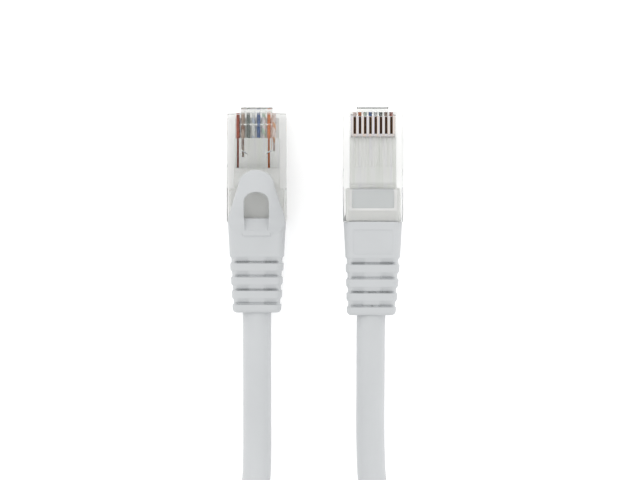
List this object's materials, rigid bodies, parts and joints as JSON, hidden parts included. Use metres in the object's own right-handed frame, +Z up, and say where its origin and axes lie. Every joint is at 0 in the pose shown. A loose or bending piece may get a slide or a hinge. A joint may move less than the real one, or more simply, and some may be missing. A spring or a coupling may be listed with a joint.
{
  "type": "ethernet patch cable",
  "caption": "Grey network patch cable: clear modular plugs with latches and ribbed snagless boots on both ends, spare length folded into a tied hank.",
  "frame": {"origin": "on the surface the cable lies on, under the middle of the two plugs and their boots", "axes": "-Y towards the noses of both plugs, +Y along the cable to the hank, +X from plug B to plug A, +Z up"},
  "size_m": [0.0522, 0.1757, 0.0142],
  "materials": {
    "clear_plastic": "clear moulded polycarbonate, glossy",
    "milky_plastic": "milky translucent moulded plastic",
    "mould_grey": "light grey over-moulded plastic, satin",
    "jacket_grey": "light grey PVC jacket, satin",
    "boot_grey": "light grey soft PVC, satin",
    "contact_gold": "gold-plated contact blade",
    "tie_white": "white plastic-covered twist tie",
    "wire_white_orange": "wire insulation, white and orange striped",
    "wire_orange": "wire insulation, orange",
    "wire_white_green": "wire insulation, white and green striped",
    "wire_blue": "wire insulation, blue",
    "wire_white_blue": "wire insulation, white and blue striped",
    "wire_green": "wire insulation, green",
    "wire_white_brown": "wire insulation, white and brown striped",
    "wire_brown": "wire insulation, brown"
  },
  "bodies": {
    "cable": {"plug_body_a": "clear_plastic", "load_bar_a": "milky_plastic", "strain_relief_bar_a": "clear_plastic", "inner_mould_a": "mould_grey", "jacket_end_a": "jacket_grey", "boot_a": "boot_grey", "contact_1_a": "contact_gold", "wire_1_a": "wire_white_orange", "contact_2_a": "contact_gold", "wire_2_a": "wire_orange", "contact_3_a": "contact_gold", "wire_3_a": "wire_white_green", "contact_4_a": "contact_gold", "wire_4_a": "wire_blue", "contact_5_a": "contact_gold", "wire_5_a": "wire_white_blue", "contact_6_a": "contact_gold", "wire_6_a": "wire_green", "contact_7_a": "contact_gold", "wire_7_a": "wire_white_brown", "contact_8_a": "contact_gold", "wire_8_a": "wire_brown", "plug_body_b": "clear_plastic", "load_bar_b": "milky_plastic", "strain_relief_bar_b": "clear_plastic", "inner_mould_b": "mould_grey", "jacket_end_b": "jacket_grey", "boot_b": "boot_grey", "contact_1_b": "contact_gold", "wire_1_b": "wire_white_orange", "contact_2_b": "contact_gold", "wire_2_b": "wire_orange", "contact_3_b": "contact_gold", "wire_3_b": "wire_white_green", "contact_4_b": "contact_gold", "wire_4_b": "wire_blue", "contact_5_b": "contact_gold", "wire_5_b": "wire_white_blue", "contact_6_b": "contact_gold", "wire_6_b": "wire_green", "contact_7_b": "contact_gold", "wire_7_b": "wire_white_brown", "contact_8_b": "contact_gold", "wire_8_b": "wire_brown", "cable_lead_a": "jacket_grey", "cable_lead_b": "jacket_grey", "cable_hank": "jacket_grey", "hank_tie_a": "tie_white", "hank_tie_b": "tie_white"},
    "latch_a": {"latch_a": "clear_plastic"},
    "latch_cover_a": {"latch_cover_a": "boot_grey"},
    "latch_b": {"latch_b": "clear_plastic"},
    "latch_cover_b": {"latch_cover_b": "boot_grey"}
  },
  "joints": [
    {"name": "latch_cover_a_press", "type": "hinge", "parent": "cable", "child": "latch_cover_a", "pos_m": [0.0114, 0.0039, 0.0088], "axis": [1, 0, 0], "range_deg": [0, 12.75], "stiffness_Nm_per_rad": 0.1},
    {"name": "latch_a_press", "type": "hinge", "parent": "cable", "child": "latch_a", "pos_m": [0.0114, -0.0195, 0.0069], "axis": [-1, 0, 0], "range_deg": [0, 7.5], "stiffness_Nm_per_rad": 0.1},
    {"name": "latch_cover_b_press", "type": "hinge", "parent": "cable", "child": "latch_cover_b", "pos_m": [-0.0114, 0.0039, 0.0046], "axis": [-1, 0, 0], "range_deg": [0, 12.75], "stiffness_Nm_per_rad": 0.1},
    {"name": "latch_b_press", "type": "hinge", "parent": "cable", "child": "latch_b", "pos_m": [-0.0114, -0.0195, 0.0065], "axis": [1, 0, 0], "range_deg": [0, 7.5], "stiffness_Nm_per_rad": 0.1}
  ],
  "couplings": [
    {"joint": "latch_a_press", "follows": "latch_cover_a_press", "ratio": 0.588},
    {"joint": "latch_b_press", "follows": "latch_cover_b_press", "ratio": 0.588}
  ]
}
